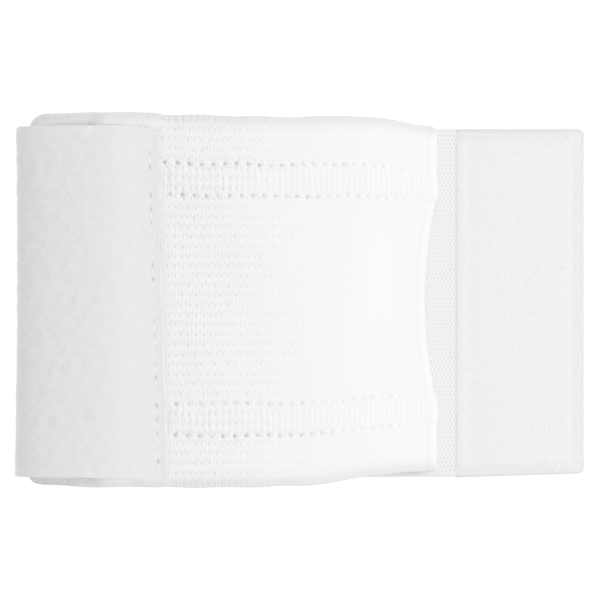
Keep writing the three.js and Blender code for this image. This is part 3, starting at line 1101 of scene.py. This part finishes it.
def mesh_strap():
    """The strap's wall with a pit in each cell of its diamond mesh, on both faces."""
    half = STRAP_WALL / 2
    along, full = steps_with_round_ends(STRAP.length, MESH_CELL[0] / 2, half)
    spans = round(2 * (STRAP_HALF - half) / (MESH_CELL[1] / 2))
    share, lift, bulge = wall_rows(spans, RIM_STEPS, spans)
    (mid_x, mid_z), (out_x, out_z) = STRAP.at(along)
    column = np.arange(len(along))[:, None]
    row = share * spans / 2 + spans / 2
    inside = (np.abs(share) < 1) * (np.abs(lift) == 1) * (full == 1)
    pit = ((column + np.round(row)) % 2 == 0) * inside
    height = lift * STRAP.thin_at(along) * (half * full - MESH_PIT * pit)
    y = share * (STRAP_HALF - half) + bulge * half + 0 * height
    places = on_strap(mid_x + out_x * height, y, mid_z + out_z * height, share)
    attributes = {"cell": stacked(column / 2, row / 2, bulge == 0), "cloth": stacked(along, y, 0)}
    return new_object("strap_mesh", grid_mesh("strap_mesh", places, False, attributes), MESH)


# Loop panel

def panel_sewn(along):
    """Share of the panel's sewn root at distances along it."""
    return eased(along, SEWN_LENGTH + SEWN_FADE, SEWN_LENGTH)


def panel_seam_depth(along, y):
    """How far the sewn rows pull the panel in."""
    end_seam = gauss(along - PANEL_SEAM_INSET, PANEL_SEAM_HALF)
    far_seam = gauss(PANEL.length - along - PANEL_SEAM_INSET, PANEL_SEAM_HALF)
    sides = gauss(STRAP_HALF - PANEL_ROW_INSET - np.abs(y), PANEL_SIDE_SEAM_HALF) * panel_sewn(along)
    crease = PANEL_CREASE * gauss(along - SEWN_LENGTH, PANEL_CREASE_HALF)
    return PANEL_SEAM_DEPTH * np.maximum(np.maximum(end_seam, far_seam), np.maximum(sides, crease))


def panel_needles(along, y, lift, rng):
    """Needle holes from 0 to 1 along the panel's end on top."""
    reach = STRAP_HALF - PANEL_ROW_INSET
    in_row = gauss(along - PANEL_SEAM_INSET, PANEL_NEEDLE_HALF[0]) * (lift == 1)
    pierced = np.zeros_like(y)
    for hole in np.arange(PANEL_PITCH / 2 - reach, reach, PANEL_PITCH):
        depth = rng.uniform(*PANEL_NEEDLE_SPREAD) ** PANEL_NEEDLE_POWER
        pierced = np.maximum(pierced, depth * in_row * gauss(y - hole, PANEL_NEEDLE_HALF[1]))
    return pierced


def pile_room(upward):
    """How far the cloth lies back under the pile, which must not reach through the floor."""
    return PILE_ROOM * eased(-upward, *PILE_ROOM_FACING)


def loop_panel():
    """The panel's wall, and its outer face's places with the share of the pile's height at each."""
    half = PANEL_WALL / 2
    rng = np.random.default_rng(SEED + 1)
    along, full = steps_with_round_ends(PANEL.length, PANEL_STEP, PANEL_END_RADIUS, PANEL_SEAM_STEPS)
    spans = round(2 * (STRAP_HALF - half) / PANEL_STEP)
    share, lift, bulge = wall_rows(spans, RIM_STEPS, spans)
    (mid_x, mid_z), (out_x, out_z) = PANEL.at(along)
    y = share * (STRAP_HALF - half) + bulge * half + 0 * along
    mottle = sum(height * ripples(along, y, rng, wavelength) for height, wavelength in MOTTLE)
    pierced = panel_needles(along, y, lift, rng)
    from_side = STRAP_HALF - np.abs(y)
    from_edge = np.minimum(from_side, np.minimum(along, PANEL.length - along))
    napped = eased(from_edge, *PANEL_NAP_EDGE) * (lift == 1) * (full == 1)
    sunk = mottle - pile_room(out_z) - panel_seam_depth(along, y)
    flat_side = PANEL_SIDE_FLAT * eased(from_side, *PANEL_SIDE) * panel_sewn(along)
    height = PANEL.thin_at(along) * (lift * half * full + napped * sunk - np.maximum(lift, 0) * flat_side)
    height -= PANEL_NEEDLE_DEPTH * pierced
    places = on_strap(mid_x + out_x * height, y, mid_z + out_z * height, share)
    # Painted shade on the needle holes and on the cut end
    grey = np.maximum(pierced, PANEL_END_SHADE * eased(along, *PANEL_END_SHADE_REACH))
    mesh = grid_mesh("panel_cloth", places, False, {"cloth": stacked(along, y, 0), "needle": grey})
    nap = PRESSED_NAP + (1 - PRESSED_NAP) * eased(along, *NAPPED) + 0 * y
    return new_object("panel_cloth", mesh, LOOP_CLOTH), places[:, :spans + 1], nap[:, :spans + 1]


def panel_pile(face, nap):
    """Loops on the panel's outer face, inside its edges, with their share of height at each place."""
    kept = (slice(END_STEPS, -END_STEPS), slice(PILE_BARE_ROWS, -PILE_BARE_ROWS))
    face, nap = face[kept], nap[kept]
    index = np.arange(nap.size).reshape(nap.shape)
    quads = stacked(index[:-1, :-1], index[:-1, 1:], index[1:, 1:], index[1:, :-1]).reshape(-1, 4)
    mesh = bpy.data.meshes.new("panel_pile")
    mesh.from_pydata((face.reshape(-1, 3) * MM).tolist(), [], quads.tolist())
    store(mesh, "nap", nap.ravel())
    return grown("panel_pile", mesh, PILE, {
        "Density": PILE_DENSITY / MM ** 2,
        "Loop Radius": LOOP_RADIUS * MM,
        "Yarn Radius": LOOP_YARN_RADIUS * MM,
        "Lean": LOOP_LEAN,
        "Seed": SEED,
        "Spin Seed": SEED + 1,
        "Lean Seed": SEED + 2,
        "Size Seed": SEED + 3,
        "Material": LOOP_YARN,
    })


def on_panel(along, y):
    """Places and ways up on the panel's outer face."""
    (x, z), (out_x, out_z) = PANEL.at(along)
    lift = PANEL.thin_at(along) * (PANEL_WALL / 2 - pile_room(out_z) - PANEL_THREAD_SEAT)
    share = y / (STRAP_HALF - PANEL_WALL / 2)
    return on_strap(x + out_x * lift, y, z + out_z * lift, share), stacked(out_x, 0, out_z)


def panel_rows():
    """Stitches along both ends of the panel and along the sides of its sewn root."""
    reach = STRAP_HALF - PANEL_ROW_INSET
    y = np.arange(-reach, reach, PANEL_PITCH)
    rows = [on_panel(np.full(len(y), a), y) for a in (PANEL_SEAM_INSET, PANEL.length - PANEL_SEAM_INSET)]
    along = np.arange(PANEL_SEAM_INSET + PANEL_PITCH / 2, SEWN_LENGTH, PANEL_PITCH)
    return rows + [on_panel(along, np.full(len(along), side * reach)) for side in (-1, 1)]


# Hook tab

def hook_tape():
    """The tape's wall with a groove along its sewn rows, wedged down at its left edge."""
    half = TAPE_WALL / 2
    x0, x1 = TAB_LOW[0] - TAPE_LEFT_SPARE, TAB_HIGH[0] + TAPE_SPARE[0]
    y_half = TAB_HALF + TAPE_SPARE[1]
    course = Course(line((x1, TAPE_LOW_Z + half), (x0, TAPE_LOW_Z + half)))
    along, full = steps_with_round_ends(course.length, TAB_STEP, half / 2)
    from_left = course.length - along
    spans = round(2 * (y_half - half) / TAB_STEP)
    share, lift, bulge = wall_rows(spans, RIM_STEPS, spans)
    x, z = course.at(along)[0]
    depth = np.clip(1 - along / TAB_CORNER, 0, 1)
    narrowed = y_half - TAB_CORNER * (1 - np.sqrt(1 - depth ** 2))
    y = share * (narrowed - half) + bulge * half
    from_sides = np.minimum(np.abs(along - TAB_ROW_X), np.abs(from_left - SELVAGE_WIDTH))
    from_row = np.minimum(from_sides, np.abs(y_half - TAB_ROW_INSET - np.abs(y)))
    groove = TAB_GROOVE * gauss(from_row, TAB_GROOVE_HALF) * (lift == 1) * (full == 1)
    wedge = (TAPE_TOP_Z - STRAP_WALL) * (1 - eased(from_left, *TAPE_WEDGE))
    height = lift * half * full - groove - wedge
    places = stacked(x, slipped(x, y) + TAB_MIDDLE_Y - TAPE_SPARE[1], z + height)
    from_edge = np.minimum(narrowed - np.abs(y), along)
    from_side = np.minimum(along, from_left) + 0 * y
    attributes = {
        "cloth": stacked(along, y, 0),
        "darker_margins": np.maximum(gauss(from_edge, TAB_CUT_HALF), TAB_MARGIN_GREY * eased(from_edge, *TAB_MARGIN)),
        # Painted light: an even, slightly lighter tone under the hooks, against their shadows
        "rooted": eased(from_side, SELVAGE_WIDTH - SELVAGE_EASE, SELVAGE_WIDTH + SELVAGE_EASE),
    }
    return new_object("tab_tape", grid_mesh("tab_tape", places, False, attributes), TAPE)


def hook_mesh():
    """One hook: a short filament bent over at its top, made as a three-sided tube."""
    tangent = np.gradient(HOOK_PATH, axis=0)
    tangent /= np.linalg.norm(tangent, axis=1)[:, None]
    places = []
    for (x, z), (tx, tz) in zip(HOOK_PATH, tangent):
        for k in range(3):
            turn = 2 * math.pi * k / 3
            side = HOOK_RADIUS * math.cos(turn)
            places.append((x - tz * side, HOOK_RADIUS * math.sin(turn), z + tx * side))
    faces = [(i + k, i + (k + 1) % 3, i + 3 + (k + 1) % 3, i + 3 + k)
             for i in range(0, len(places) - 3, 3) for k in range(3)]
    last = len(places) - 3
    faces += [(2, 1, 0), (last, last + 1, last + 2)]
    mesh = bpy.data.meshes.new("tab_hooks")
    mesh.from_pydata((np.array(places) * MM).tolist(), [], faces)
    return mesh


def hook_field():
    """Hooks over the middle of the tape."""
    length = 2 * (TAB_HALF - HOOK_END_BARE)
    width = TAB_HIGH[0] - TAB_LOW[0] - 2 * SELVAGE_WIDTH - HOOK_SIDE_BARE
    return grown("tab_hooks", hook_mesh(), HOOKS, {
        "Columns": round(width / HOOK_COLUMN_PITCH) + 1,
        "Rows": round(length / HOOK_ROW_PITCH) + 1,
        "Width": width * MM,
        "Length": length * MM,
        "Middle": (TAB_MIDDLE_X * MM, TAB_MIDDLE_Y * MM, TAPE_TOP_Z * MM),
        "Sway": HOOK_SWAY,
        "Sway Seed": SEED,
        "Size Seed": SEED + 1,
        "Material": HOOK_NYLON,
    })


def tab_rows():
    """Stitches round the tab, a little inside its edges."""
    x0, x1 = TAB_LOW[0] + SELVAGE_WIDTH, TAB_HIGH[0] - TAB_ROW_X
    y0, y1 = TAB_LOW[1] + TAB_ROW_INSET, TAB_HIGH[1] - TAB_ROW_INSET
    z = TAPE_TOP_Z - TAB_THREAD_SEAT
    rows = [stacked(x, np.arange(y0 + TAB_PITCH / 2, y1, TAB_PITCH), z) for x in (x0, x1)]
    rows += [stacked(np.arange(x0 + TAB_PITCH / 2, x1, TAB_PITCH), y, z) for y in (y0, y1)]
    return [(places, np.tile((0.0, 0.0, 1.0), (len(places), 1))) for places in rows]


# Build

sleeve = knit_sleeve()
sleeve_thread = sew("sleeve_thread", sleeve_rows(), length=1.5, radius=0.13, arch=0.12, sink=0.20)
strap = mesh_strap()
panel, panel_face, panel_nap = loop_panel()
pile = panel_pile(panel_face, panel_nap)
panel_thread = sew("panel_thread", panel_rows(), length=2.2, radius=0.11, arch=0.0, sink=0.20)
tape = hook_tape()
hooks = hook_field()
tab_thread = sew("tab_thread", tab_rows(), length=2.2, radius=0.12, arch=0.03, sink=0.16, sway=0.2)

for piece in (sleeve, sleeve_thread, strap, panel, pile, panel_thread, tape, hooks, tab_thread):
    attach(piece, "root")
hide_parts("knit_sleeve")
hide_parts("mesh_strap")
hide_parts("loop_panel")
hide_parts("hook_tab")


# Studio: white floor, soft white surround, a large key light from the right, a low fill, camera above

def studio_floor():
    side = 3.0
    level = -0.0002
    mesh = bpy.data.meshes.new("floor")
    corners = [(x * side, y * side, level) for x, y in ((-1, -1), (1, -1), (1, 1), (-1, 1))]
    mesh.from_pydata(corners, [], [(0, 1, 2, 3)])
    material = finish_named("white floor", {
        "Base Color": linear("#505050"),
        "Roughness": 0.9,
        "Emission Color": (1, 1, 1, 1),
        "Emission Strength": 0.94,
    })[0]
    return new_object("floor", mesh, material)


def studio_light():
    world = bpy.data.worlds.new("white surround")
    world.use_nodes = True
    surround = world.node_tree.nodes["Background"]
    surround.inputs["Color"].default_value = (1, 1, 1, 1)
    surround.inputs["Strength"].default_value = 0.633
    bpy.context.scene.world = world
    for name, place, size, power in (
        ("key", (1.0, 0.05, 0.9), 1.2, 11.8),
        ("low fill", (-1.17, 0.0, 0.25), 0.6, 1.5),
    ):
        lamp = bpy.data.lights.new(name, "AREA")
        lamp.shape = "DISK"
        lamp.size = size
        lamp.energy = power
        light = bpy.data.objects.new(name, lamp)
        light.location = place
        light.rotation_mode = "QUATERNION"
        light.rotation_quaternion = light.location.to_track_quat("Z", "Y")
        bpy.context.scene.collection.objects.link(light)


def camera_above():
    data = bpy.data.cameras.new("camera")
    data.lens = 210
    data.sensor_width = 36
    camera = bpy.data.objects.new("camera", data)
    camera.location = (0, 0, 0.7)
    bpy.context.scene.collection.objects.link(camera)
    bpy.context.scene.camera = camera


studio_floor()
studio_light()
camera_above()
bpy.context.scene.view_settings.view_transform = "Standard"
